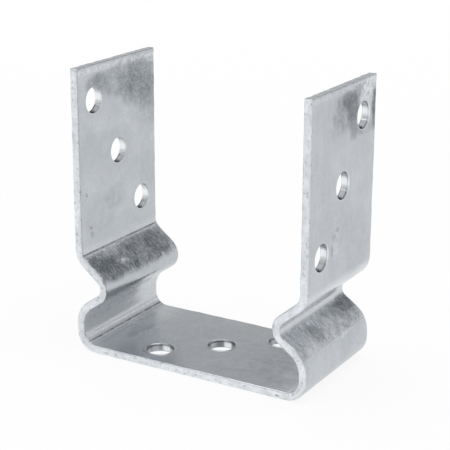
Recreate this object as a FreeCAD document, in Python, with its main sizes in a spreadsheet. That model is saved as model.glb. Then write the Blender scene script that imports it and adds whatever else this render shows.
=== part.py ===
import FreeCAD, Part
import math
import os

import Sketcher
from FreeCAD import Vector

# A U bracket for the foot of a timber post, bent from one length of flat steel bar.
# The base bolts down, the post stands between the two legs, and a kink in each leg
# carries the post clear of the base.
# Origin at the middle of the base's underside, X across the U, Y across the bar, Z up.
# All sizes are in millimetres and degrees.
sizes = {
    # the bar
    "BarWidth": 50.0,
    "BarThickness": 3.0,
    "EdgeRound": 0.4,
    # the U: clear width between the legs and overall height
    "ClearWidth": 91.0,
    "TotalHeight": 108.0,
    # the kink, measured on the bar's inner face between its unrounded corners:
    # height of the low wall over the ground, rise to the nose, rise on to the leg,
    # and how far the nose stands in from the leg
    "WallHeight": 15.0,
    "NoseRise": 10.25,
    "LegRise": 12.25,
    "NoseReach": 15.0,
    # inside radius of each bend, from the base up
    "BaseBend": 5.0,
    "WallBend": 8.0,
    "NoseBend": 3.5,
    "LegBend": 5.5,
    # punched holes: three on a diagonal in each leg and three in the base
    "LegHole": 10.0,
    "BaseHole": 11.0,
    "HoleEdgeMargin": 10.0,
    "LegHoleTopMargin": 13.0,
    "LegHoleFootMargin": 13.5,
    "BaseHoleInset": 27.5,
}

fullTurn = 360.0
touching = 1e-6


def fillSheet(doc, values):
    sheet = doc.addObject("Spreadsheet::Sheet", "Sizes")
    for row, (alias, value) in enumerate(values.items(), start=1):
        sheet.set(f"A{row}", alias)
        sheet.set(f"B{row}", str(value))
        sheet.setAlias(f"B{row}", alias)
    doc.recompute()
    return sheet


def originPart(body, role):
    return next(item for item in body.Origin.OriginFeatures if item.Role == role)


def newSketch(body, name, planeRole):
    sketch = body.newObject("Sketcher::SketchObject", name)
    sketch.AttachmentSupport = [(originPart(body, planeRole), "")]
    sketch.MapMode = "FlatFace"
    return sketch


def drive(sketch, constraint, name, formula):
    index = sketch.addConstraint(constraint)
    sketch.renameConstraint(index, name)
    sketch.setExpression(f"Constraints.{name}", formula)


# Where an arc of the given radius touches the two straight runs that meet at a corner.
def roundCorner(before, corner, after, radius):
    back = (before - corner).normalize()
    ahead = (after - corner).normalize()
    halfAngle = back.getAngle(ahead) / 2
    run = radius / math.tan(halfAngle)
    centre = corner + (back + ahead).normalize() * (radius / math.sin(halfAngle))
    return centre, corner + back * run, corner + ahead * run


# The arc through three places: both tangent points and the middle of the bend.
def bendArc(centre, first, last):
    middle = centre + ((first - centre) + (last - centre)).normalize() * (first - centre).Length
    return Part.Arc(first, middle, last)


# The right half of the bracket's section: the bar's inner face runs from the middle of
# the base to the top of the leg, its outer face comes back beside it, each bend's two
# arcs share a centre, and short ends close the outline.
def drawHalfSection(body, v):
    sketch = newSketch(body, "HalfSection", "XZ_Plane")
    thick = v["BarThickness"]
    face = v["ClearWidth"] / 2
    wallTop = v["WallHeight"]
    nose = wallTop + v["NoseRise"]
    legFoot = nose + v["LegRise"]
    corners = [
        Vector(0, thick, 0),
        Vector(face, thick, 0),
        Vector(face, wallTop, 0),
        Vector(face - v["NoseReach"], nose, 0),
        Vector(face, legFoot, 0),
        Vector(face, v["TotalHeight"], 0),
    ]
    # radius on the inner face, and how much more or less the outer face has
    bends = [
        (v["BaseBend"], thick),
        (v["WallBend"], thick),
        (v["NoseBend"] + thick, -thick),
        (v["LegBend"], thick),
    ]
    inner, outer = [corners[0]], [Vector(0, 0, 0)]
    centres = []
    for place, (radius, growth) in enumerate(bends, start=1):
        centre, first, last = roundCorner(*corners[place - 1:place + 2], radius)
        scale = (radius + growth) / radius
        inner += [first, last]
        outer += [centre + (first - centre) * scale, centre + (last - centre) * scale]
        centres.append(centre)
    inner.append(corners[-1])
    outer.append(corners[-1] + Vector(thick, 0, 0))

    def drawFace(points):
        lines, arcs = [], []
        for index in range(0, len(points), 2):
            lines.append(sketch.addGeometry(Part.LineSegment(points[index], points[index + 1]), False))
        for index, centre in enumerate(centres):
            first, last = points[2 * index + 1], points[2 * index + 2]
            arcs.append(sketch.addGeometry(bendArc(centre, first, last), False))
        return lines, arcs

    innerLines, innerArcs = drawFace(inner)
    outerLines, outerArcs = drawFace(outer)
    middle = sketch.addGeometry(Part.LineSegment(outer[0], inner[0]), False)
    top = sketch.addGeometry(Part.LineSegment(inner[-1], outer[-1]), False)

    # an arc drawn clockwise is stored the other way round, so its ends are looked up
    def arcEnd(arc, point):
        near = (sketch.getPoint(arc, 1) - point).Length < (sketch.getPoint(arc, 2) - point).Length
        return 1 if near else 2

    for points, lines, arcs in ((inner, innerLines, innerArcs), (outer, outerLines, outerArcs)):
        for index, arc in enumerate(arcs):
            first, last = points[2 * index + 1], points[2 * index + 2]
            sketch.addConstraint(Sketcher.Constraint("Tangent", lines[index], 2, arc, arcEnd(arc, first)))
            sketch.addConstraint(Sketcher.Constraint("Tangent", lines[index + 1], 1, arc, arcEnd(arc, last)))
    for innerArc, outerArc in zip(innerArcs, outerArcs):
        sketch.addConstraint(Sketcher.Constraint("Coincident", innerArc, 3, outerArc, 3))
    joins = [
        (middle, 1, outerLines[0], 1),
        (middle, 2, innerLines[0], 1),
        (top, 1, innerLines[-1], 2),
        (top, 2, outerLines[-1], 2),
        (middle, 1, -1, 1),
    ]
    for join in joins:
        sketch.addConstraint(Sketcher.Constraint("Coincident", *join))
    for line in (innerLines[0], outerLines[0], top):
        sketch.addConstraint(Sketcher.Constraint("Horizontal", line))
    for line in (middle, innerLines[1], outerLines[1], innerLines[-1], outerLines[-1]):
        sketch.addConstraint(Sketcher.Constraint("Vertical", line))

    # the unrounded corners of the kink, which its sizes are given to
    cornerPoints = []
    for place, line in zip((2, 3, 4), (1, 2, 3)):
        point = sketch.addGeometry(Part.Point(corners[place]), True)
        sketch.addConstraint(Sketcher.Constraint("PointOnObject", point, 1, innerLines[line]))
        sketch.addConstraint(Sketcher.Constraint("PointOnObject", point, 1, innerLines[line + 1]))
        cornerPoints.append(point)
    wallPoint, nosePoint, legPoint = cornerPoints

    drive(sketch, Sketcher.Constraint("DistanceY", middle, 1, middle, 2, thick), "baseThickness",
          "Sizes.BarThickness")
    drive(sketch, Sketcher.Constraint("DistanceX", top, 1, top, 2, thick), "legThickness",
          "Sizes.BarThickness")
    drive(sketch, Sketcher.Constraint("DistanceX", -1, 1, wallPoint, 1, face), "wallFace",
          "Sizes.ClearWidth / 2")
    drive(sketch, Sketcher.Constraint("DistanceX", -1, 1, legPoint, 1, face), "legFace",
          "Sizes.ClearWidth / 2")
    drive(sketch, Sketcher.Constraint("DistanceX", nosePoint, 1, wallPoint, 1, v["NoseReach"]), "noseReach",
          "Sizes.NoseReach")
    drive(sketch, Sketcher.Constraint("DistanceY", -1, 1, wallPoint, 1, wallTop), "wallHeight",
          "Sizes.WallHeight")
    drive(sketch, Sketcher.Constraint("DistanceY", wallPoint, 1, nosePoint, 1, v["NoseRise"]), "noseRise",
          "Sizes.NoseRise")
    drive(sketch, Sketcher.Constraint("DistanceY", nosePoint, 1, legPoint, 1, v["LegRise"]), "legRise",
          "Sizes.LegRise")
    drive(sketch, Sketcher.Constraint("DistanceY", -1, 1, top, 1, v["TotalHeight"]), "totalHeight",
          "Sizes.TotalHeight")
    drive(sketch, Sketcher.Constraint("Radius", innerArcs[0], bends[0][0]), "baseBend", "Sizes.BaseBend")
    drive(sketch, Sketcher.Constraint("Radius", innerArcs[1], bends[1][0]), "wallBend", "Sizes.WallBend")
    drive(sketch, Sketcher.Constraint("Radius", innerArcs[2], bends[2][0]), "noseInnerFace",
          "Sizes.NoseBend + Sizes.BarThickness")
    drive(sketch, Sketcher.Constraint("Radius", outerArcs[2], v["NoseBend"]), "noseOuterFace",
          "Sizes.NoseBend")
    drive(sketch, Sketcher.Constraint("Radius", innerArcs[3], bends[3][0]), "legBend", "Sizes.LegBend")
    return sketch


# Three equal round holes on a straight diagonal, the second midway between the others.
# Each centre is (across, along) with the formula that drives it.
def drawHoleRow(body, name, planeRole, diameter, diameterFormula, ends):
    sketch = newSketch(body, name, planeRole)
    (firstAcross, firstAlong), (lastAcross, lastAlong) = ends
    first = Vector(firstAcross[0], firstAlong[0], 0)
    last = Vector(lastAcross[0], lastAlong[0], 0)
    circles = []
    for centre in (first, (first + last) / 2, last):
        circle = Part.Circle(centre, Vector(0, 0, 1), diameter / 2)
        circles.append(sketch.addGeometry(circle, False))
    sketch.addConstraint(Sketcher.Constraint("Equal", circles[0], circles[1]))
    sketch.addConstraint(Sketcher.Constraint("Equal", circles[0], circles[2]))
    sketch.addConstraint(Sketcher.Constraint("Symmetric", circles[0], 3, circles[2], 3, circles[1], 3))
    drive(sketch, Sketcher.Constraint("Diameter", circles[0], diameter), "holeDiameter", diameterFormula)
    for circle, place, (across, along) in ((circles[0], "first", ends[0]), (circles[2], "last", ends[1])):
        drive(sketch, Sketcher.Constraint("DistanceX", -1, 1, circle, 3, across[0]), f"{place}Across", across[1])
        drive(sketch, Sketcher.Constraint("DistanceY", -1, 1, circle, 3, along[0]), f"{place}Along", along[1])
    return sketch


# A cut through everything on the side that the sketch's plane faces.
def punch(body, name, sketch):
    before = body.Tip.Shape.Volume
    pocket = body.newObject("PartDesign::Pocket", name)
    pocket.Profile = sketch
    pocket.Type = "ThroughAll"
    pocket.Reversed = True
    body.Document.recompute()
    if pocket.Shape.Volume >= before:
        raise RuntimeError(f"{name} cuts nothing")
    return pocket


# The bar's four long edges, which run up and down the whole U. The sheared ends stay square.
def longEdges(shape, halfWidth, top):
    names = []
    for index, edge in enumerate(shape.Edges, start=1):
        ends = [vertex.Point for vertex in edge.Vertexes]
        onSide = all(abs(abs(end.y) - halfWidth) < touching for end in ends)
        onSameSide = abs(ends[0].y - ends[-1].y) < touching
        onEnd = all(abs(end.z - top) < touching for end in ends)
        if onSide and onSameSide and not onEnd:
            names.append(f"Edge{index}")
    return names


def makeBracket(doc, v):
    body = doc.addObject("PartDesign::Body", "Bracket")
    body.Label = "u_bracket"

    half = body.newObject("PartDesign::Pad", "BentHalf")
    half.Profile = drawHalfSection(body, v)
    half.SideType = "Symmetric"
    half.setExpression("Length", "Sizes.BarWidth")
    doc.recompute()

    whole = body.newObject("PartDesign::Mirrored", "WholeBar")
    whole.Originals = [half]
    whole.MirrorPlane = (originPart(body, "YZ_Plane"), [""])
    body.Tip = whole
    doc.recompute()

    rolled = body.newObject("PartDesign::Fillet", "RolledEdges")
    rolled.Base = (whole, longEdges(whole.Shape, v["BarWidth"] / 2, v["TotalHeight"]))
    rolled.setExpression("Radius", "Sizes.EdgeRound")
    doc.recompute()

    # right leg: the low hole is near the front edge and the high one near the back edge
    offset = v["BarWidth"] / 2 - v["HoleEdgeMargin"]
    offsetFormula = "Sizes.BarWidth / 2 - Sizes.HoleEdgeMargin"
    lowHole = v["WallHeight"] + v["NoseRise"] + v["LegRise"] + v["LegHoleFootMargin"]
    lowFormula = "Sizes.WallHeight + Sizes.NoseRise + Sizes.LegRise + Sizes.LegHoleFootMargin"
    highHole = v["TotalHeight"] - v["LegHoleTopMargin"]
    highFormula = "Sizes.TotalHeight - Sizes.LegHoleTopMargin"
    legRow = drawHoleRow(body, "LegHoleRow", "YZ_Plane", v["LegHole"], "Sizes.LegHole", [
        ((-offset, f"-({offsetFormula})"), (lowHole, lowFormula)),
        ((offset, offsetFormula), (highHole, highFormula)),
    ])
    legHoles = punch(body, "RightLegHoles", legRow)

    # the left leg's row is the right leg's, turned half way round the upright axis
    bothLegs = body.newObject("PartDesign::PolarPattern", "LegHoles")
    bothLegs.Originals = [legHoles]
    bothLegs.Axis = (originPart(body, "Z_Axis"), [""])
    bothLegs.Angle = fullTurn
    bothLegs.Occurrences = 2
    body.Tip = bothLegs
    doc.recompute()

    reach = v["ClearWidth"] / 2 - v["BaseHoleInset"]
    reachFormula = "Sizes.ClearWidth / 2 - Sizes.BaseHoleInset"
    baseRow = drawHoleRow(body, "BaseHoleRow", "XY_Plane", v["BaseHole"], "Sizes.BaseHole", [
        ((-reach, f"-({reachFormula})"), (-offset, f"-({offsetFormula})")),
        ((reach, reachFormula), (offset, offsetFormula)),
    ])
    punch(body, "BaseHoles", baseRow)
    return body


doc = FreeCAD.newDocument("UBracket")
fillSheet(doc, sizes)
bracket = makeBracket(doc, sizes)
doc.recompute()

for item in doc.Objects:
    if "Invalid" in item.State or "Error" in item.State:
        raise RuntimeError(f"{item.Label} did not build: {item.State}")
if bracket.Shape.isNull() or not bracket.Shape.isValid():
    raise RuntimeError("the bracket's solid is not valid")

os.makedirs("parts", exist_ok=True)
bracket.Shape.exportStep(f"parts/{bracket.Label}.step")
print(bracket.Label, "solids", len(bracket.Shape.Solids), "faces", len(bracket.Shape.Faces),
      "volume", round(bracket.Shape.Volume, 1), "box", bracket.Shape.BoundBox)
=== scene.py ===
import math

import bmesh
import bpy
import numpy as np
from mathutils import Matrix, Vector, noise


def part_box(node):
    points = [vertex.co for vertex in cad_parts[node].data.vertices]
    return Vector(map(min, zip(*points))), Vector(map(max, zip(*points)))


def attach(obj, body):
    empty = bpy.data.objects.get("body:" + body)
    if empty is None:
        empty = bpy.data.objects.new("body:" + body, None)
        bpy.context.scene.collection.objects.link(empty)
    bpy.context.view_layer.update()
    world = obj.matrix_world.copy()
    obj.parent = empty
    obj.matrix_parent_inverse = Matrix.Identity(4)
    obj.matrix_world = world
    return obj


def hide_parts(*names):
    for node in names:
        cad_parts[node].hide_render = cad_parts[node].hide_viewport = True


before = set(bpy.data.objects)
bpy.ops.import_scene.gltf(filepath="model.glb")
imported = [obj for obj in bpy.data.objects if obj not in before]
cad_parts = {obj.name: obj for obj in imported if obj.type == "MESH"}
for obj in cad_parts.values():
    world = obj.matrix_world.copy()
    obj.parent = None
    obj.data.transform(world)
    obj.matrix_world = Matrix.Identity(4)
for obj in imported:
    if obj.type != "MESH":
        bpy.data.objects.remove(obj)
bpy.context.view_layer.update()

low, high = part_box("u_bracket")
overallHeight = high.z - low.z
print("frame loaded, bracket", [round(side * 1000, 2) for side in high - low], "mm")

mm = 0.001

# The flat bar that the bracket is bent from. It is worked out flat, with its punched
# holes and rolled edges, and then laid along the bends.
bar = {
    "thickness": 3.0 * mm,
    "wallHeight": 15.0 * mm,        # inner face, between its unrounded corners
    "noseRise": 10.25 * mm,
    "legRise": 12.25 * mm,
    "noseReach": 15.0 * mm,
    "baseBend": 5.0 * mm,           # inside radii
    "wallBend": 8.0 * mm,
    "noseBend": 3.5 * mm,
    "legBend": 5.5 * mm,
    "edgeRound": 0.5 * mm,
    "endRound": 0.25 * mm,
    "punchRim": 0.45 * mm,          # rim on the legs' outer face, where the punch went in
    "plainRim": 0.2 * mm,           # their inner face
    "baseRim": 0.5 * mm,
    "pitch": 0.75 * mm,             # mesh size along and across the bar
    "holeBlock": 7.5 * mm,          # half the square of mesh round each hole
    "holeRings": 5,
    "roundSteps": 4,
    "wallSteps": 4,
}
thickness = bar["thickness"]
halfWidth = (high.y - low.y) / 2
legFace = (high.x - low.x) / 2 - thickness


# Straight runs and bends of one half of the bar, as (length, curvature) along its middle line.
def bendRuns():
    nose = bar["wallHeight"] + bar["noseRise"]
    corners = [
        Vector((0, thickness)),
        Vector((legFace, thickness)),
        Vector((legFace, bar["wallHeight"])),
        Vector((legFace - bar["noseReach"], nose)),
        Vector((legFace, nose + bar["legRise"])),
        Vector((legFace, overallHeight)),
    ]
    radii = [bar["baseBend"], bar["wallBend"], bar["noseBend"] + thickness, bar["legBend"]]
    made, used = [], 0.0
    for before, corner, after, radius in zip(corners, corners[1:], corners[2:], radii):
        ahead, onward = corner - before, after - corner
        turn = math.atan2(ahead.cross(onward), ahead.dot(onward))
        tangent = radius * math.tan(abs(turn) / 2)
        made.append((ahead.length - used - tangent, 0.0))
        middle = radius + math.copysign(thickness / 2, turn)
        made.append((middle * abs(turn), math.copysign(1 / middle, turn)))
        used = tangent
    made.append(((corners[-1] - corners[-2]).length - used, 0.0))
    return made


runs = bendRuns()
halfLength = sum(length for length, curve in runs)
bendSpans = []                      # (start, end, curvature) of each bend of one half
walked = 0.0
for length, curve in runs:
    if curve:
        bendSpans.append((walked, walked + length, curve))
    walked += length


# Lays blank places (along, across, through) onto the bent bar. Through is positive inside the U.
def bent(blank):
    along, across, through = blank.T
    walk = np.abs(along)
    place = np.zeros((len(blank), 3))
    x, z, heading, start = 0.0, thickness / 2, 0.0, 0.0
    for number, (length, curve) in enumerate(runs):
        isLast = number == len(runs) - 1
        here = (walk >= start) & ((walk < start + length) | isLast)
        for target, gone in ((here, walk[here] - start), (None, np.array([length]))):
            angle = heading + curve * gone
            if curve:
                runX = x + (np.sin(angle) - math.sin(heading)) / curve
                runZ = z - (np.cos(angle) - math.cos(heading)) / curve
            else:
                runX = x + gone * math.cos(heading)
                runZ = z + gone * math.sin(heading)
            if target is None:
                x, z, heading = runX[0], runZ[0], angle[0]
            else:
                place[target, 0] = runX - np.sin(angle) * through[target]
                place[target, 2] = runZ + np.cos(angle) * through[target]
        start += length
    place[:, 0] *= np.where(along < 0, -1, 1)
    place[:, 1] = across
    return place


punched = {
    "legRadius": 5.0 * mm,
    "baseRadius": 5.5 * mm,
    "edgeMargin": 10.0 * mm,        # hole centre to the bar's long edge
    "topMargin": 13.0 * mm,
    "footMargin": 13.5 * mm,        # lowest hole over the leg's corner
    "baseInset": 27.5 * mm,         # outer base holes in from the leg's inner face
}


# Holes as (along, across, radius), on a diagonal in each leg and in the base.
def holePlaces():
    offset = halfWidth - punched["edgeMargin"]
    legFoot = bar["wallHeight"] + bar["noseRise"] + bar["legRise"]
    highest = halfLength - punched["topMargin"]
    lowest = halfLength - (overallHeight - legFoot - punched["footMargin"])
    reach = legFace - punched["baseInset"]
    made = []
    for share in (-1, 0, 1):
        middle = (lowest + highest) / 2 + share * (highest - lowest) / 2
        made.append((middle, share * offset, punched["legRadius"]))
        made.append((-middle, -share * offset, punched["legRadius"]))
        made.append((share * reach, share * offset, punched["baseRadius"]))
    return made


holes = holePlaces()


# Mesh lines between the given stops, evenly spaced within each gap.
def spread(stops, pitch):
    lines = [stops[0]]
    for first, last in zip(stops, stops[1:]):
        count = max(1, round((last - first) / pitch))
        lines += [first + (last - first) * step / count for step in range(1, count + 1)]
    return np.array(lines)


# The bar's section as a closed loop of (across, through), starting on the inner face.
# The inset shrinks it, for the rounding of the sheared ends.
def sectionLoop(acrossLines, inset):
    radius = bar["edgeRound"] - inset
    coreAcross = halfWidth - bar["edgeRound"]
    coreThrough = thickness / 2 - bar["edgeRound"]
    steps, sideSteps = bar["roundSteps"], bar["wallSteps"]
    loop = [(across, thickness / 2 - inset) for across in acrossLines]
    for side in (1, -1):
        for step in range(1, steps):
            angle = step / steps * math.pi / 2
            loop.append((side * (coreAcross + radius * math.sin(angle)),
                         side * (coreThrough + radius * math.cos(angle))))
        for step in range(sideSteps + 1):
            level = coreThrough * (1 - 2 * step / sideSteps)
            loop.append((side * (halfWidth - inset), side * level))
        for step in range(1, steps):
            angle = step / steps * math.pi / 2
            loop.append((side * (coreAcross + radius * math.cos(angle)),
                         side * (-coreThrough - radius * math.sin(angle))))
        if side > 0:
            loop += [(across, inset - thickness / 2) for across in acrossLines[::-1]]
    return np.array(loop)


# Vertices (blank place, outward direction, in a hole or not) and faces of the punched flat bar.
def flatBar():
    core = halfWidth - bar["edgeRound"]
    block = bar["holeBlock"]
    acrossStops = {-core, core}
    alongStops = {-halfLength + bar["endRound"], halfLength - bar["endRound"]}
    for along, across, radius in holes:
        acrossStops |= {round(across - block, 7), round(across + block, 7)}
        alongStops |= {round(along - block, 7), round(along + block, 7)}
    for first, last, curve in bendSpans:
        alongStops |= {first, last, -first, -last}
    acrossLines = spread(sorted(acrossStops), bar["pitch"])
    alongLines = spread(sorted(alongStops), bar["pitch"])
    columns = len(acrossLines)

    # each station is (along, inset, lean of the rounding towards the end)
    rounding = [step / bar["roundSteps"] * math.pi / 2 for step in range(1, bar["roundSteps"] + 1)]
    stations = [(along, 0.0, 0.0) for along in alongLines]
    for end in (-1, 1):
        extra = [(end * (halfLength - bar["endRound"] * (1 - math.sin(angle))),
                  bar["endRound"] * (1 - math.cos(angle)), end * angle) for angle in rounding]
        stations = extra[::-1] + stations if end < 0 else stations + extra

    places, outward, faces = [], [], []
    plain = sectionLoop(acrossLines, 0.0)
    loopCount = len(plain)
    coreBox = np.array([core, thickness / 2 - bar["edgeRound"]])
    facing = plain - np.clip(plain, -coreBox, coreBox)
    facing /= np.linalg.norm(facing, axis=1)[:, None]
    for along, inset, lean in stations:
        section = sectionLoop(acrossLines, inset)
        for (across, through), (outAcross, outThrough) in zip(section, facing):
            places.append((along, across, through))
            flat = math.cos(lean)
            outward.append((math.sin(lean), outAcross * flat, outThrough * flat))

    def index(station, loopPlace):
        return station * loopCount + loopPlace % loopCount

    # the squares round the holes are left out of the plain mesh
    def inBlock(along, across):
        return any(abs(along - holeAlong) < block and abs(across - holeAcross) < block
                   for holeAlong, holeAcross, radius in holes)

    bottomStart = columns + 2 * (bar["roundSteps"] - 1) + bar["wallSteps"] + 1
    faceCells = {}
    for cell in range(columns - 1):
        middle = (acrossLines[cell] + acrossLines[cell + 1]) / 2
        faceCells[cell] = middle
        faceCells[bottomStart + columns - 2 - cell] = middle
    for station in range(len(stations) - 1):
        middleAlong = (stations[station][0] + stations[station + 1][0]) / 2
        for cell in range(loopCount):
            if cell in faceCells and inBlock(middleAlong, faceCells[cell]):
                continue
            faces.append((index(station, cell), index(station, cell + 1),
                          index(station + 1, cell + 1), index(station + 1, cell)))

    bored = [0.0] * len(places)
    # sheared end: the section filled in by rows that carry on from the sides' own points
    for station, end in ((0, -1), (len(stations) - 1, 1)):
        sideStart = columns + bar["roundSteps"] - 1
        farStart = bottomStart + columns + bar["roundSteps"] - 1
        rows = bar["wallSteps"] + 1
        along = stations[station][0]
        levels = [plain[sideStart + row][1] for row in range(rows)]
        first = len(places)
        for level in levels:
            for across in acrossLines:
                places.append((along, across, level))
                outward.append((end, 0.0, 0.0))
                bored.append(0.0)

        def endPoint(row, column):
            return first + row * columns + column

        for column in range(columns - 1):
            faces.append((index(station, column), index(station, column + 1),
                          endPoint(0, column + 1), endPoint(0, column)))
            bottom = bottomStart + columns - 1 - column
            faces.append((endPoint(rows - 1, column), endPoint(rows - 1, column + 1),
                          index(station, bottom - 1), index(station, bottom)))
            for row in range(rows - 1):
                faces.append((endPoint(row, column), endPoint(row, column + 1),
                              endPoint(row + 1, column + 1), endPoint(row + 1, column)))
        for row in range(rows - 1):
            faces.append((endPoint(row, columns - 1), index(station, sideStart + row),
                          index(station, sideStart + row + 1), endPoint(row + 1, columns - 1)))
            far = farStart + rows - 1 - row
            faces.append((index(station, far), endPoint(row, 0),
                          endPoint(row + 1, 0), index(station, far - 1)))
        corners = [
            (columns - 1, endPoint(0, columns - 1)),
            (sideStart + rows - 1, endPoint(rows - 1, columns - 1)),
            (bottomStart + columns - 1, endPoint(rows - 1, 0)),
            (farStart + rows - 1, endPoint(0, 0)),
        ]
        for begin, pivot in corners:
            for step in range(bar["roundSteps"]):
                faces.append((pivot, index(station, begin + step), index(station, begin + step + 1)))

    # punched holes: rings from the square of mesh in to the rim, over it and through the bar
    allAlong = np.array([station[0] for station in stations])
    for holeAlong, holeAcross, radius in holes:
        legHole = abs(holeAlong) > halfLength / 2
        rims = {1: bar["plainRim" if legHole else "baseRim"],
                -1: bar["punchRim" if legHole else "baseRim"]}
        onAlong = [i for i, value in enumerate(allAlong) if abs(value - holeAlong) < block + 1e-6]
        onAcross = [j for j, value in enumerate(acrossLines) if abs(value - holeAcross) < block + 1e-6]
        border = [(onAlong[0], j) for j in onAcross]
        border += [(i, onAcross[-1]) for i in onAlong[1:]]
        border += [(onAlong[-1], j) for j in onAcross[-2::-1]]
        border += [(i, onAcross[0]) for i in onAlong[-2:0:-1]]
        spokes = [math.atan2(acrossLines[j] - holeAcross, allAlong[i] - holeAlong) for i, j in border]
        square = [math.hypot(acrossLines[j] - holeAcross, allAlong[i] - holeAlong) for i, j in border]

        # each ring is (share of the way out to the square, radius, through, outward in, outward through)
        rings = []
        for side, rim in rims.items():
            sideRings = [(step / bar["holeRings"], radius + rim, side * thickness / 2, 0.0, side)
                         for step in range(bar["holeRings"] - 1, -1, -1)]
            for step in range(1, bar["roundSteps"] + 1):
                angle = step / bar["roundSteps"] * math.pi / 2
                sideRings.append((0.0, radius + rim * (1 - math.sin(angle)),
                                  side * (thickness / 2 - rim * (1 - math.cos(angle))),
                                  math.sin(angle), side * math.cos(angle)))
            rings += sideRings if side > 0 else sideRings[::-1]
            if side > 0:
                top, wall = thickness / 2 - rims[1], thickness - rims[1] - rims[-1]
                for step in range(1, bar["wallSteps"]):
                    rings.append((0.0, radius, top - wall * step / bar["wallSteps"], 1.0, 0.0))
        loops = [[index(i, j) for i, j in border]]
        for share, ringRadius, through, outIn, outThrough in rings:
            loops.append(list(range(len(places), len(places) + len(border))))
            for spoke, reach in zip(spokes, square):
                away = ringRadius + share * (reach - ringRadius)
                places.append((holeAlong + away * math.cos(spoke),
                               holeAcross + away * math.sin(spoke), through))
                outward.append((-outIn * math.cos(spoke), -outIn * math.sin(spoke), outThrough))
                bored.append(outIn)
        loops.append([index(i, bottomStart + columns - 1 - j) for i, j in border])
        for outer, inner in zip(loops, loops[1:]):
            for k in range(len(border)):
                after = (k + 1) % len(border)
                faces.append((outer[k], outer[after], inner[after], inner[k]))
    return np.array(places), np.array(outward), np.array(bored), faces


blank, outward, bored, barFaces = flatBar()
used = sorted({corner for face in barFaces for corner in face})
renumber = {old: new for new, old in enumerate(used)}
blank, outward, bored = blank[used], outward[used], bored[used]
barFaces = [tuple(renumber[corner] for corner in face) for face in barFaces]
print("flat bar", len(blank), "vertices,", len(barFaces), "faces, holes", len(holes))

# The zinc coat on the bar: its waves, the beads along its edges and the drops that set on it.
coat = {
    "wave": 0.04 * mm, "waveLength": 19 * mm,
    "ripple": 0.012 * mm, "rippleLength": 3.5 * mm,
    "facesApart": 6,                # the two faces don't share their waves
    "bead": 0.16 * mm, "beadLength": 2.4 * mm, "beadReach": 1.1 * mm,
    "beadStretch": 0.55, "beadLowest": -0.35,
    "pinch": 0.16 * mm, "pinchHalf": 0.8 * mm,      # groove left inside each bend by the press tool
    "pinchLength": 4 * mm, "pinchStretch": 0.2, "pinchUneven": 0.8,
    "rollIn": 0.12 * mm, "rollInReach": 1.3 * mm,   # outer face drawn down round a punched hole
    "legFill": 0.2 * mm, "baseFill": 0.55 * mm,     # zinc left on the punched walls
    "dropRound": 0.7,               # 0.5 is half a ball, 1 has softer sides
    "seed": 7.3, "seedShift": (1, 2.7, 5.1),
}
outside, inside = -1, 1             # the U's faces

# drops of zinc as (along, across, face, radius, height) in millimetres, left leg negative
drops = [
    (-75.6, 14.6, inside, 1.3, 0.45), (-87.0, -2.6, inside, 0.9, 0.3),
    (-86.8, -11.4, inside, 0.7, 0.25), (-80.0, -9.8, inside, 1.5, 0.22),
    (-85.4, -24.0, inside, 1.3, 0.25), (-81.0, -24.1, inside, 1.4, 0.22),
    (-45.4, -23.8, inside, 1.7, 0.3), (-76.5, -6.0, inside, 0.8, 0.2),
    (-132.0, 8.0, inside, 0.7, 0.1), (58.4, 5.2, outside, 1.6, 0.3),
    (55.0, -9.0, outside, 1.2, 0.15), (155.4, 17.8, outside, 0.9, 0.25),
    (158.0, 22.2, outside, 1.5, 0.25), (151.0, 20.5, outside, 1.2, 0.15),
    (64.0, 10.5, outside, 0.9, 0.2), (66.5, 19.0, outside, 0.7, 0.2),
    (-120.0, -14.0, outside, 1.0, 0.25), (-70.0, 9.0, outside, 1.1, 0.3),
    (100.0, 12.0, inside, 0.9, 0.2), (20.0, 17.0, outside, 1.0, 0.05),
]


def noiseAt(places, size, seed):
    shift = Vector([seed * share for share in coat["seedShift"]])
    return np.array([noise.noise(Vector(place) / size + shift) for place in places])


# 0 up to first, then up to 1 over the given length.
def ramp(value, first, length):
    return np.clip((value - first) / length, 0, 1)


# 1 on the bar's long edges and sheared ends, down to 0 a bead's reach in from them.
def borderShare():
    inset = np.minimum(halfWidth - np.abs(blank[:, 1]), halfLength - np.abs(blank[:, 0]))
    return 1 - ramp(inset, 0, coat["beadReach"])


border = borderShare()
onFace = np.sign(blank[:, 2]) * (np.abs(outward[:, 2]) > 0.5)      # 0 on edges and hole walls
onLeg = np.abs(blank[:, 0]) > halfLength / 2


def coatHeight():
    seed = coat["seed"]
    apart = blank * [1, 1, coat["facesApart"]]
    height = coat["wave"] * noiseAt(apart, coat["waveLength"], seed)
    height += coat["ripple"] * noiseAt(apart, coat["rippleLength"], seed + 1)
    beads = noiseAt(blank * [coat["beadStretch"], 1, 1], coat["beadLength"], seed + 2)
    height += coat["bead"] * border * np.clip(beads, coat["beadLowest"], 1)
    uneven = noiseAt(blank * [coat["pinchStretch"], 1, 1], coat["pinchLength"], seed + 3)
    depth = coat["pinch"] * (1 + coat["pinchUneven"] * uneven)
    for first, last, curve in bendSpans:
        gap = np.abs(np.abs(blank[:, 0]) - (first + last) / 2)
        height -= depth * (1 - ramp(gap, 0, coat["pinchHalf"])) * (onFace == np.sign(curve))
    for along, across, radius in holes:
        out = np.hypot(blank[:, 0] - along, blank[:, 1] - across) - radius
        height -= coat["rollIn"] * (1 - ramp(out, 0, coat["rollInReach"])) ** 2 * (onFace == outside)
    height += np.where(onLeg, coat["legFill"], coat["baseFill"]) * bored
    for along, across, face, radius, rise in drops:
        away = np.hypot(blank[:, 0] - along * mm, blank[:, 1] - across * mm) / (radius * mm)
        height += rise * mm * np.clip(1 - away ** 2, 0, 1) ** coat["dropRound"] * (onFace == face)
    return height


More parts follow.
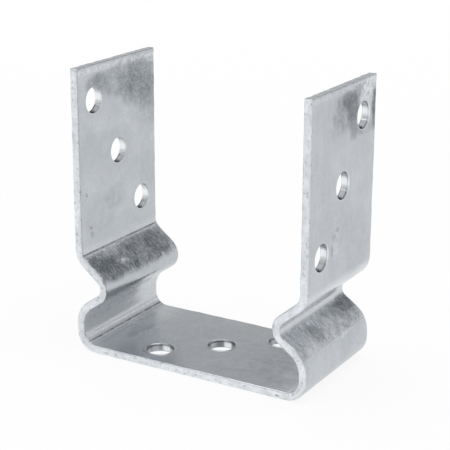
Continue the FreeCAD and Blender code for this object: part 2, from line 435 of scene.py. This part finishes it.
coated = blank + outward * coatHeight()[:, None]
placed = bent(coated)
placed[:, 2] = np.maximum(placed[:, 2], low.z)      # nothing reaches under the base


def makeBar():
    mesh = bpy.data.meshes.new("galvanisedBar")
    mesh.from_pydata(placed.tolist(), [], barFaces)
    edit = bmesh.new()
    edit.from_mesh(mesh)
    bmesh.ops.recalc_face_normals(edit, faces=edit.faces)
    edit.to_mesh(mesh)
    edit.free()
    mesh.polygons.foreach_set("use_smooth", [True] * len(mesh.polygons))
    piece = bpy.data.objects.new("galvanisedBar", mesh)
    bpy.context.collection.objects.link(piece)
    return piece


galvanisedBar = makeBar()
print("bar bent,", sum(len(face) - 2 for face in barFaces), "triangles")

# Where the finish and the painted light and shade change, as shares from 0 to 1 kept on the mesh's
# vertices.
stains = {
    "soften": 1.2,                  # how far a patch fades out, as a share of its size
    "creaseMargin": 2.0 * mm,
    "frostMargin": 1.7 * mm,
    # where a punched wall's tone sets in and over how much more it grows: its straight part,
    # the part that faces up, the part that faces down and the part that faces the front
    "straight": (0.6, 0.3), "upFacingWallShaded": (0.54, 0.08), "shaded": (0.2, 0.6),
    "frontal": (0.92, 0.05), "frontLight": 0.85,
}
baseFold, wallFold, noseFold, legFold = bendSpans

# the kinks' slopes, where the coat froze in fine needles, as (face, from, to)
frostedSlopes = [
    (outside, (wallFold[0] + wallFold[1]) / 2 + 0.4 * mm, noseFold[0] + 2.0 * mm),
    (inside, noseFold[1] - 2.4 * mm, (legFold[0] + legFold[1]) / 2 - 1.2 * mm),
]

# painted light in the hollows and nooks at the folds: their colour is made lighter where the concave
# faces would render dark, as (face, from, growing over, to, fading over, strength)
paintedLightHollows = [
    (inside, baseFold[0] - 10 * mm, 14 * mm, noseFold[0] + 2 * mm, 3 * mm, 0.85),
    (inside, legFold[0] + 3.4 * mm, 0.8 * mm, legFold[1] + 1.5 * mm, 3 * mm, 0.45),
    (outside, noseFold[0] + 1.8 * mm, 0.9 * mm, noseFold[1] + 4 * mm, 2 * mm, 0.8),
    (outside, noseFold[1] + 1 * mm, 2 * mm, legFold[1], 3 * mm, 1.0),
]

# dull patches as (along, across, face, half length, half width, strength) in millimetres
dullPatches = [
    (-149.0, 17.0, inside, 6.0, 8.0, 0.42), (-140.0, 21.5, inside, 6.0, 5.0, 0.30),
    (-151.5, 2.0, inside, 4.0, 10.0, 0.38), (-152.0, -13.0, inside, 2.5, 4.0, 0.34),
    (-146.5, 9.0, inside, 4.0, 6.0, 0.15), (154.0, 3.0, outside, 2.0, 3.6, 0.68),
    (151.0, 6.0, outside, 2.8, 3.2, 0.65), (147.0, 7.5, outside, 4.0, 2.4, 0.45),
    (150.0, -1.0, outside, 4.6, 4.5, 0.42), (143.5, 8.0, outside, 3.0, 4.0, 0.22),
    (155.5, 16.5, outside, 1.6, 4.0, 0.28), (155.5, 9.5, outside, 1.2, 3.0, 0.4),
    (157.6, 15.0, outside, 0.3, 5.0, 0.5), (150.0, 23.5, outside, 3.6, 1.6, 0.95),
    (144.5, 23.8, outside, 3.0, 1.2, 0.6), (141.5, 17.5, outside, 1.5, 4.0, 0.3),
    (150.0, -9.0, outside, 6.0, 5.0, 0.12), (-98.5, -18.8, inside, 0.3, 0.4, 0.8),
    (-111.8, -21.0, inside, 0.3, 0.4, 0.6), (-95.5, -18.0, inside, 0.8, 0.6, 0.3),
    (109.3, -3.5, outside, 0.5, 0.7, 0.6), (102.5, -7.3, outside, 1.6, 0.4, 0.4),
    (107.0, -6.0, outside, 1.0, 1.0, 0.2), (-125.0, -3.0, inside, 6.0, 9.0, 0.1),
    (-103.0, -14.0, inside, 5.0, 6.0, 0.1), (-107.0, -2.0, inside, 3.0, 4.0, 0.14),
    (-94.0, 5.0, inside, 4.0, 14.0, 0.08), (-80.5, 0.0, inside, 3.6, 20.0, 0.32),
    (-78.5, -15.5, inside, 2.4, 5.0, 0.6), (-82.5, -17.5, inside, 2.6, 5.0, 0.68),
    (-80.5, -2.0, inside, 3.5, 4.0, 0.52), (-83.5, 9.0, inside, 2.6, 6.0, 0.45),
    (-80.5, 17.0, inside, 3.6, 4.5, 0.4), (-76.5, 4.0, inside, 1.6, 9.0, 0.4),
    (66.5, 20.5, outside, 2.6, 3.6, 0.7), (63.5, -9.0, outside, 2.0, 3.0, 0.35),
    (67.5, 9.0, outside, 1.5, 5.0, 0.25), (64.0, 14.0, outside, 3.0, 2.6, 0.2),
    (-35.0, -8.0, inside, 1.2, 2.4, 0.3), (-33.8, 1.0, inside, 1.0, 3.0, 0.25),
    (-37.0, -1.0, inside, 1.0, 3.0, 0.15), (30.0, -20.0, inside, 16.0, 4.0, 0.1),
    (100.0, 12.0, outside, 8.0, 7.0, 0.12), (112.0, -6.0, outside, 6.0, 8.0, 0.1),
    (38.0, -2.0, inside, 14.0, 12.0, 0.14), (10.0, 2.0, inside, 22.0, 14.0, 0.1),
    # faces that the photograph doesn't show
    (-150.0, -12.0, outside, 6.0, 8.0, 0.4), (-139.0, -19.0, outside, 5.0, 4.0, 0.35),
    (-112.0, 12.0, outside, 5.0, 8.0, 0.12), (-62.0, 14.0, outside, 3.0, 6.0, 0.5),
    (152.0, -14.0, inside, 5.5, 7.0, 0.4), (140.0, -4.0, inside, 4.0, 9.0, 0.25),
    (104.0, 14.0, inside, 6.0, 5.5, 0.12), (83.0, 8.0, inside, 3.0, 7.0, 0.5),
]

# light spattered patches in the zinc's own colour, and painted highlights on the drops, in the same
# terms
spatterAndDropHighlights = [
    (156.5, 20.0, outside, 1.8, 4.0, 0.9), (153.5, 14.5, outside, 2.4, 1.6, 0.7),
    (152.0, 20.0, outside, 2.4, 1.6, 0.5), (157.8, -2.0, outside, 0.5, 22.0, 0.4),
    (-157.4, 0.0, inside, 0.7, 24.0, 0.6), (-156.0, 22.0, inside, 1.2, 2.0, 0.5),
    (-79.5, -7.5, inside, 1.0, 1.6, 0.8), (-84.8, -12.0, inside, 0.7, 4.0, 0.5),
    (-78.0, 1.5, inside, 1.8, 1.2, 0.4), (61.5, -16.0, outside, 2.0, 3.6, 0.55),
    (61.5, 3.0, outside, 1.6, 4.0, 0.4), (58.2, 6.0, outside, 0.8, 2.6, 0.6),
    # the entries of strength 1 are painted highlights on drops
    (105.0, -4.5, outside, 4.0, 1.4, 0.25), (-75.6, 14.6, inside, 0.4, 0.5, 1.0),
    (-87.0, -2.6, inside, 0.3, 0.5, 1.0), (-86.8, -11.4, inside, 0.3, 0.4, 1.0),
    (-80.0, -7.6, inside, 0.5, 0.6, 1.0), (155.4, 17.8, outside, 0.3, 0.5, 1.0),
]


def patchShare(patches):
    soften = stains["soften"]
    share = np.zeros(len(blank))
    for along, across, face, halfAlong, halfAcross, strength in patches:
        away = np.hypot((blank[:, 0] / mm - along) / halfAlong, (blank[:, 1] / mm - across) / halfAcross)
        patch = ramp(1 + soften - away, 0, soften)
        patch = patch ** 2 * (3 - 2 * patch) * (onFace == face)
        share = 1 - (1 - share) * (1 - strength * patch)
    return share


def frostShare():
    walk = np.abs(blank[:, 0])
    margin = stains["frostMargin"]
    share = np.zeros(len(blank))
    for face, first, last in frostedSlopes:
        within = np.minimum((walk - first) / margin, (last - walk) / margin) + 0.5
        share = np.maximum(share, np.clip(within, 0, 1) * (onFace == face))
    return share


# painted light: how strongly each fold hollow is lightened
def paintedLightHollowShare():
    walk = np.abs(blank[:, 0])
    share = np.zeros(len(blank))
    for face, first, grows, last, fades, strength in paintedLightHollows:
        within = ramp(walk, first, grows) * ramp(last - walk, 0, fades)
        share = np.maximum(share, strength * within * (onFace == face))
    return share


# Punched walls: painted shade on the upward-facing part of a leg hole's wall, standing in for a dark
# reflection, and on its downward-facing part. The base's holes are painted shaded all round, less so
# where they face the front.
def boreShares():
    upward = outward[:, 0] * np.sign(blank[:, 0]) * onLeg
    upFacingWallShaded = ramp(upward, *stains["upFacingWallShaded"]) * ramp(bored, *stains["straight"])
    shaded = ramp(-upward, *stains["shaded"]) * bored
    frontal = ramp(-outward[:, 1], *stains["frontal"])
    return upFacingWallShaded, np.where(onLeg, shaded, (1 - stains["frontLight"] * frontal) * bored)


# Inside each bend, on the face that the press tool pinched.
def creaseShare():
    walk = np.abs(blank[:, 0])
    share = np.zeros(len(blank))
    for first, last, curve in bendSpans:
        middle, half = (first + last) / 2, (last - first) / 2 + stains["creaseMargin"]
        pinched = 1 - ramp(np.abs(walk - middle), 0, half)
        share = np.maximum(share, pinched * (onFace == np.sign(curve)))
    return share


def keepOnVertices(piece, name, values, kind="FLOAT"):
    field = piece.data.attributes.new(name, kind, "POINT")
    key = "value" if kind == "FLOAT" else "vector"
    field.data.foreach_set(key, np.ascontiguousarray(values, dtype=np.float32).ravel())


upFacingWallShaded, shaded = boreShares()
shares = {
    "edge": np.abs(outward[:, 1]) * (bored == 0),
    "border": border,
    "bored": bored,
    "upFacingWallShade": upFacingWallShaded,
    "shade": shaded,
    "frost": frostShare(),
    "paintedHollowLight": paintedLightHollowShare(),
    "dull": patchShare(dullPatches),
    "light": patchShare(spatterAndDropHighlights),
    "crease": creaseShare(),
}
keepOnVertices(galvanisedBar, "blankPlace", blank, "FLOAT_VECTOR")
for name, values in shares.items():
    keepOnVertices(galvanisedBar, name, values)
print("finish fields kept on", len(blank), "vertices")


# Node helpers: a new node with its sockets filled by values or links.
def addNode(tree, kind, sockets=None, **settings):
    node = tree.nodes.new(kind)
    for name, value in settings.items():
        setattr(node, name, value)
    for name, value in (sockets or {}).items():
        if isinstance(value, bpy.types.NodeSocket):
            tree.links.new(value, node.inputs[name])
        else:
            node.inputs[name].default_value = value
    return node


def mathNode(tree, operation, first, second=0.0):
    return addNode(tree, "ShaderNodeMath", {0: first, 1: second}, operation=operation).outputs[0]


def stretch(tree, value, fromLow, fromHigh, toLow, toHigh):
    sockets = {"Value": value, "From Min": fromLow, "From Max": fromHigh,
               "To Min": toLow, "To Max": toHigh}
    return addNode(tree, "ShaderNodeMapRange", sockets).outputs["Result"]


def mixColours(tree, share, first, second):
    sockets = {0: share, 6: first, 7: second}
    return addNode(tree, "ShaderNodeMix", sockets, data_type="RGBA").outputs[2]


zinc = {
    "face": (0.467, 0.492, 0.520, 1),
    "bright": (0.540, 0.566, 0.595, 1),
    "dull": (0.14, 0.156, 0.174, 1),
    # painted light: the lighter colour given to the hollows at the folds
    "paintedHollowLight": (0.71, 0.735, 0.765, 1),
    "spatter": (0.80, 0.82, 0.84, 1),
    "edge": (0.765, 0.792, 0.823, 1),
    "fleck": (0.25, 0.265, 0.28, 1),
    "bore": (0.87, 0.89, 0.91, 1),
    "boreShade": (0.20, 0.21, 0.225, 1),
    # painted shade on the upward-facing walls of the leg holes, in colour and reflection
    "boreDark": (0.19, 0.20, 0.215, 1),
    # painted crease shade and painted crease highlight of the fold lines
    "paintedCreaseShade": (0.10, 0.11, 0.12, 1),
    "paintedCreaseHighlight": (0.88, 0.90, 0.92, 1),
    "bumpDepth": 0.16 * mm,
    "lineWaver": 0.5 * mm,
    # noises over the flat bar: scale, detail, roughness, distortion, and the stretch along,
    # across and through it
    "noises": {
        "cloud": (85, 4, 0.55, 0.4, (1, 1, 7)),
        "patch": (300, 4, 0.6, 0.5, (1, 1, 7)),
        "mottle": (1300, 4, 0.62, 0.3, (1, 1, 7)),
        "needle": (2300, 4, 0.62, 0.25, (0.24, 1, 7)),
        "slant": (2300, 4, 0.62, 0.25, (0.5, 0.9, 7)),
        "grain": (4200, 2, 0.5, 0, (1, 1, 7)),
        "streak": (420, 3, 0.5, 0, (0.18, 1, 7)),
        "brushed": (600, 4, 0.6, 0.5, (0.5, 1, 7)),
        "pressed": (800, 2, 0.6, 0, (1, 0.07, 7)),
        "broken": (520, 3, 0.6, 0, (0.5, 1, 7)),
        "punched": (330, 2, 0.5, 0, (1, 1, 0.6)),
        "flecks": (1000, 4, 0.62, 0, (0.6, 1, 1)),
        "lumps": (420, 4, 0.65, 0.4, (0.6, 1, 1)),
        "spatter": (900, 3, 0.6, 0.4, (1, 1, 7)),
    },
    # how a noise or a share is stretched: from low, from high, to low, to high
    "ranges": {
        "needleTurn": (0.46, 0.54, 0, 1),
        "clouded": (0.35, 0.65, 0, 1),
        "streakTone": (0.3, 0.7, 0.975, 1.025),
        "mottleTone": (0.3, 0.7, 0.94, 1.06),
        "blotches": (0.38, 0.62, -0.34, 0.34),
        "blotchOnset": (0, 0.25, 0, 1),
        "blotchFade": (0.3, 1, 1, 0.4),
        "worn": (0.03, 1, 0, 1),
        "frosted": (0.84, 0.96, 0, 1),
        "needleTone": (0.34, 0.66, 0.5, 1.75),
        "brushTone": (0.36, 0.64, 0.68, 1.32),
        "speckOnset": (0.12, 0.7, 0, 0.7),
        "specks": (0.34, 0.66, -0.5, 0.5),
        "spatter": (0.42, 0.62, 0.1, 1),
        "paintedDropHighlights": (0.85, 1, 0, 1),
        "lineFace": (1.0 * mm, 1.3 * mm, 0, 1),
        "lineBreaks": (0.40, 0.56, 0.35, 1),
        "edgeTone": (0.34, 0.66, 0.88, 1.14),
        "shadeTone": (0.4, 0.6, 1, 0.7),
        "upFacingShadeTone": (0.3, 0.6, 1, 0.8),
        "flecks": (0.32, 0.45, 0.6, 0),
        "fleckPatches": (0.40, 0.58, 0.4, 1.5),
        "fleckBorder": (0.1, 0.6, 0, 1),
        "roughness": (0.3, 0.7, 0.21, 0.30),
        "metal": (0, 1, 1, 0.45),
    },
    "weights": {
        "broadBlotch": 0.3, "fineBlotch": 0.2,
        "frostBreak": 0.8, "dullRough": 0.3,
        "needles": 0.62, "dullNeedles": 0.15,
        "lineCore": 0.4, "lineMiddle": 0.5,         # full strength out to this share of a line
        "mottleHeight": 0.35, "patchHeight": 0.25, "roughHeight": 0.9, "plainHeight": 0.1,
        "needleHeight": 0.16, "grainHeight": 0.02, "creaseHeight": 0.6, "lineHeight": 0.5,
        "edgeRoughness": 0.16, "frostRoughness": 0.1,
    },
}

# fine lines across the bar at the folds, as (distance from the middle, face, half width, middle and
# half length across) in millimetres, and how dark (below 0) or light: painted shade in the creases and
# painted highlights along them, the dark ones also sunk and the light ones raised a little
creaseShadeAndHighlightLines = [
    (88.6, inside, 0.30, 0, 60, -0.9), (87.6, inside, 0.35, 0, 60, 0.75),
    (47.2, inside, 0.60, 0, 60, 0.95), (44.6, inside, 0.60, 0, 60, -0.85),
    (43.0, inside, 0.30, 0, 60, -0.4), (71.0, inside, 0.55, 0, 13, -0.9),
    (69.2, inside, 0.35, -14, 8, -0.6), (66.3, inside, 0.45, -15, 7, -0.75),
    (63.8, inside, 0.35, -8, 9, -0.5), (60.5, inside, 0.40, -16, 8, -0.4),
    (57.0, inside, 0.35, -2, 10, -0.35), (65.2, inside, 0.40, -18, 6, 0.5),
    (58.8, inside, 0.45, 4, 12, 0.3), (57.9, outside, 0.50, 0, 60, 0.2),
]


def zincMaterial():
    material = bpy.data.materials.new("hotDipZinc")
    material.use_nodes = True
    tree = material.node_tree
    tree.nodes.clear()
    weights = zinc["weights"]
    place = addNode(tree, "ShaderNodeAttribute", attribute_name="blankPlace").outputs["Vector"]
    share = {name: addNode(tree, "ShaderNodeAttribute", attribute_name=name).outputs["Fac"]
             for name in shares}

    def times(first, *others):
        for other in others:
            first = mathNode(tree, "MULTIPLY", first, other)
        return first

    def plus(first, *others):
        for other in others:
            first = mathNode(tree, "ADD", first, other)
        return first

    def apart(first, second):
        return mathNode(tree, "ABSOLUTE", mathNode(tree, "SUBTRACT", first, second))

    def larger(first, second):
        return mathNode(tree, "MAXIMUM", first, second)

    def ranged(value, name):
        return stretch(tree, value, *zinc["ranges"][name])

    def vectorNode(operation, sockets):
        return addNode(tree, "ShaderNodeVectorMath", sockets, operation=operation).outputs[0]

    def pattern(scale, detail, roughness, distortion, factors):
        return addNode(tree, "ShaderNodeTexNoise", {
            "Vector": vectorNode("MULTIPLY", {0: place, 1: factors}),
            "Scale": scale, "Detail": detail, "Roughness": roughness, "Distortion": distortion,
        }).outputs["Fac"]

    noises = {name: pattern(*settings) for name, settings in zinc["noises"].items()}
    cloud, patch, mottle, broken = [noises[name] for name in ("cloud", "patch", "mottle", "broken")]
    dull = share["dull"]

    # needles run down the bar in places and across it in others
    turned = ranged(patch, "needleTurn")
    straight = mathNode(tree, "SUBTRACT", 1.0, turned)
    needle = plus(times(noises["needle"], turned), times(noises["slant"], straight))

    # clouds over the faces, painted light in the hollows, and dull patches with broken borders
    colour = mixColours(tree, ranged(cloud, "clouded"), zinc["face"], zinc["bright"])
    colour = mixColours(tree, share["paintedHollowLight"], colour, zinc["paintedHollowLight"])
    blotches = plus(times(plus(cloud, patch), weights["broadBlotch"]),
                    times(plus(noises["streak"], mottle), weights["fineBlotch"]))
    uneven = times(ranged(blotches, "blotches"), ranged(dull, "blotchOnset"), ranged(dull, "blotchFade"))
    colour = mixColours(tree, ranged(plus(dull, uneven), "worn"), colour, zinc["dull"])

    # fine streaks and mottling all over, needles on the frosted slopes, specks where it is dull
    frosted = ranged(plus(share["frost"], times(broken, weights["frostBreak"])), "frosted")
    strokes = times(ranged(needle, "needleTone"), ranged(noises["brushed"], "brushTone"))
    strokes = times(mathNode(tree, "SUBTRACT", strokes, 1.0),
                    plus(times(dull, weights["dullNeedles"]), weights["needles"]))
    specks = times(ranged(dull, "speckOnset"), ranged(mottle, "specks"))
    tone = times(ranged(noises["streak"], "streakTone"), ranged(mottle, "mottleTone"),
                 plus(times(frosted, strokes), 1.0), plus(specks, 1.0))
    colour = vectorNode("SCALE", {0: colour, "Scale": tone})

    # light spatter, and painted highlights on the drops
    spatter = times(share["light"], ranged(noises["spatter"], "spatter"))
    # painted highlights: the full light colour where the share is nearly 1, on the drops
    spatter = larger(spatter, ranged(share["light"], "paintedDropHighlights"))
    colour = mixColours(tree, spatter, colour, zinc["spatter"])

    # fine lines at the folds, painted as crease shade or highlight, which waver by half the given width
    # either way
    along, across, through = addNode(tree, "ShaderNodeSeparateXYZ", {0: place}).outputs[:3]
    walk = plus(mathNode(tree, "ABSOLUTE", along), times(broken, zinc["lineWaver"]))
    onSide = {face: ranged(times(through, face), "lineFace") for face in (inside, outside)}
    breaks = ranged(broken, "lineBreaks")
    lineHeight = 0.0
    for distance, face, half, middle, reach, tone in creaseShadeAndHighlightLines:
        near = apart(walk, distance * mm + zinc["lineWaver"] / 2)
        near = stretch(tree, near, weights["lineCore"] * half * mm, half * mm, 1.0, 0.0)
        within = stretch(tree, apart(across, middle * mm),
                         weights["lineMiddle"] * reach * mm, reach * mm, 1.0, 0.0)
        line = times(near, onSide[face], breaks, within)
        lineColour = zinc["paintedCreaseHighlight" if tone > 0 else "paintedCreaseShade"]
        colour = mixColours(tree, times(line, abs(tone)), colour, lineColour)
        lineHeight = plus(lineHeight, times(line, tone))

    # edges, hole walls with their painted shade, and the dark flecks along the borders
    edgeTone = ranged(noises["lumps"], "edgeTone")
    edgeColour = vectorNode("SCALE", {0: zinc["edge"][:3], "Scale": edgeTone})
    colour = mixColours(tree, share["edge"], colour, edgeColour)
    colour = mixColours(tree, share["bored"], colour, zinc["bore"])
    shaded = times(share["shade"], ranged(noises["punched"], "shadeTone"))
    colour = mixColours(tree, shaded, colour, zinc["boreShade"])
    # painted shade: the upward-facing part of each leg hole's wall darkened in colour
    upFacingWallShaded = times(share["upFacingWallShade"], ranged(mottle, "upFacingShadeTone"))
    colour = mixColours(tree, upFacingWallShaded, colour, zinc["boreDark"])
    flecks = times(ranged(noises["flecks"], "flecks"), ranged(patch, "fleckPatches"),
                   ranged(share["border"], "fleckBorder"))
    colour = mixColours(tree, flecks, colour, zinc["fleck"])

    uneven = plus(times(mottle, weights["mottleHeight"]), times(patch, weights["patchHeight"]))
    rough = larger(frosted, times(dull, weights["dullRough"]))
    height = plus(
        times(uneven, plus(times(rough, weights["roughHeight"]), weights["plainHeight"])),
        times(needle, weights["needleHeight"], frosted),
        times(noises["grain"], weights["grainHeight"]),
        times(share["crease"], weights["creaseHeight"], noises["pressed"]),
        times(lineHeight, weights["lineHeight"]))
    bump = addNode(tree, "ShaderNodeBump", {
        "Height": height, "Strength": 1.0, "Distance": zinc["bumpDepth"]})

    shader = addNode(tree, "ShaderNodeBsdfPrincipled", {
        "Base Color": colour,
        # the painted light hollows are also made less metallic
        "Metallic": ranged(share["paintedHollowLight"], "metal"),
        "Roughness": plus(ranged(cloud, "roughness"),
                          times(share["edge"], weights["edgeRoughness"]),
                          times(frosted, weights["frostRoughness"])),
        # the same painted shade also darkens the reflections on those wall parts
        "Specular Tint": mixColours(tree, share["upFacingWallShade"], (1, 1, 1, 1), zinc["boreDark"]),
        "Normal": bump.outputs["Normal"],
    })
    output = addNode(tree, "ShaderNodeOutputMaterial")
    tree.links.new(shader.outputs["BSDF"], output.inputs["Surface"])
    return material


galvanisedBar.data.materials.append(zincMaterial())
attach(galvanisedBar, "root")
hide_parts("u_bracket")
print("zinc finish on", galvanisedBar.name)

# Studio: a white floor, a broad soft lamp overhead and a sky that is white near the horizon.
studio = {
    "floorSize": 12.0,
    "floorColour": (0.92, 0.92, 0.92, 1),
    "floorLift": 0.88,              # share of plain white that the camera and reflections see
    "liftFrom": 0.25, "liftFull": 0.8,      # the floor is plain white beyond this far out
    "lampHeight": 1.5, "lampSize": 2.4, "lampPower": 23.5,
    # grey of the sky in reflections at each height, from the horizon (0) to straight up (1)
    "sky": [(0.0, 1.0), (0.06, 1.0), (0.13, 0.68), (0.41, 0.64),
            (0.45, 0.80), (0.505, 0.38), (1.0, 0.38)],
}


def makeFloor():
    half = studio["floorSize"] / 2
    corners = [(-half, -half, low.z), (half, -half, low.z), (half, half, low.z), (-half, half, low.z)]
    mesh = bpy.data.meshes.new("studioFloor")
    mesh.from_pydata(corners, [], [(0, 1, 2, 3)])
    floor = bpy.data.objects.new("studioFloor", mesh)
    bpy.context.collection.objects.link(floor)
    material = bpy.data.materials.new("whitePaper")
    material.use_nodes = True
    tree = material.node_tree
    tree.nodes.clear()
    rays = addNode(tree, "ShaderNodeLightPath").outputs
    seen = mathNode(tree, "MAXIMUM", rays["Is Camera Ray"], rays["Is Glossy Ray"])
    seen = mathNode(tree, "MAXIMUM", seen, rays["Is Transmission Ray"])
    away = addNode(tree, "ShaderNodeTexCoord").outputs["Object"]
    away = addNode(tree, "ShaderNodeVectorMath", {0: away}, operation="LENGTH").outputs["Value"]
    lift = stretch(tree, away, studio["liftFrom"], studio["liftFull"], studio["floorLift"], 1.0)
    paper = addNode(tree, "ShaderNodeBsdfDiffuse", {"Color": studio["floorColour"]})
    white = addNode(tree, "ShaderNodeEmission", {"Color": (1, 1, 1, 1), "Strength": 1.0})
    mixed = addNode(tree, "ShaderNodeMixShader", {
        0: mathNode(tree, "MULTIPLY", seen, lift),
        1: paper.outputs["BSDF"],
        2: white.outputs["Emission"],
    })
    output = addNode(tree, "ShaderNodeOutputMaterial")
    tree.links.new(mixed.outputs[0], output.inputs["Surface"])
    mesh.materials.append(material)


def makeSky():
    world = bpy.data.worlds.new("studioSky")
    world.use_nodes = True
    tree = world.node_tree
    tree.nodes.clear()
    direction = addNode(tree, "ShaderNodeTexCoord").outputs["Generated"]
    upward = addNode(tree, "ShaderNodeSeparateXYZ", {0: direction}).outputs["Z"]
    greys = addNode(tree, "ShaderNodeValToRGB", {"Fac": upward})
    stops = greys.color_ramp.elements
    while len(stops) < len(studio["sky"]):
        stops.new(0.5)
    for stop, (rise, grey) in zip(stops, studio["sky"]):
        stop.position = rise
        stop.color = (grey, grey, grey, 1)
    cameraRay = addNode(tree, "ShaderNodeLightPath").outputs["Is Camera Ray"]
    shown = mixColours(tree, cameraRay, greys.outputs["Color"], (1, 1, 1, 1))
    background = addNode(tree, "ShaderNodeBackground", {"Color": shown, "Strength": 1.0})
    output = addNode(tree, "ShaderNodeOutputWorld")
    tree.links.new(background.outputs["Background"], output.inputs["Surface"])
    bpy.context.scene.world = world


def makeLamp():
    lamp = bpy.data.lights.new("softLamp", "AREA")
    lamp.shape = "SQUARE"
    lamp.size = studio["lampSize"]
    lamp.energy = studio["lampPower"]
    holder = bpy.data.objects.new("softLamp", lamp)
    holder.location = (0, 0, studio["lampHeight"])
    bpy.context.collection.objects.link(holder)


makeFloor()
makeSky()
makeLamp()
print("studio lit")

# The photograph's viewing angle, fitted to the bracket's outline and holes.
view = {
    "azimuth": math.radians(30.53),
    "elevation": math.radians(17.82),
    "roll": math.radians(0.22),
    "distance": 0.506,
    "lens": 110.26,
    "aimHeight": 0.45,              # share of the bracket's height
    "aimRight": 1.13 * mm,
    "aimUp": 1.98 * mm,
    "clipStart": 0.01,
}


def makeCamera():
    azimuth, elevation, roll = view["azimuth"], view["elevation"], view["roll"]
    back = Vector((math.sin(azimuth) * math.cos(elevation),
                   -math.cos(azimuth) * math.cos(elevation),
                   math.sin(elevation)))
    right = Vector((math.cos(azimuth), math.sin(azimuth), 0))
    up = back.cross(right)
    right, up = (right * math.cos(roll) + up * math.sin(roll),
                 up * math.cos(roll) - right * math.sin(roll))
    aim = Vector((0, 0, low.z + view["aimHeight"] * overallHeight))
    aim += right * view["aimRight"] + up * view["aimUp"]
    lens = bpy.data.cameras.new("camera")
    lens.lens = view["lens"]
    lens.clip_start = view["clipStart"]
    camera = bpy.data.objects.new("camera", lens)
    facing = Matrix((right, up, back)).transposed()
    camera.matrix_world = Matrix.LocRotScale(aim + back * view["distance"], facing, None)
    bpy.context.collection.objects.link(camera)
    bpy.context.scene.camera = camera


makeCamera()
bpy.context.scene.view_settings.view_transform = "Standard"
print("camera set")
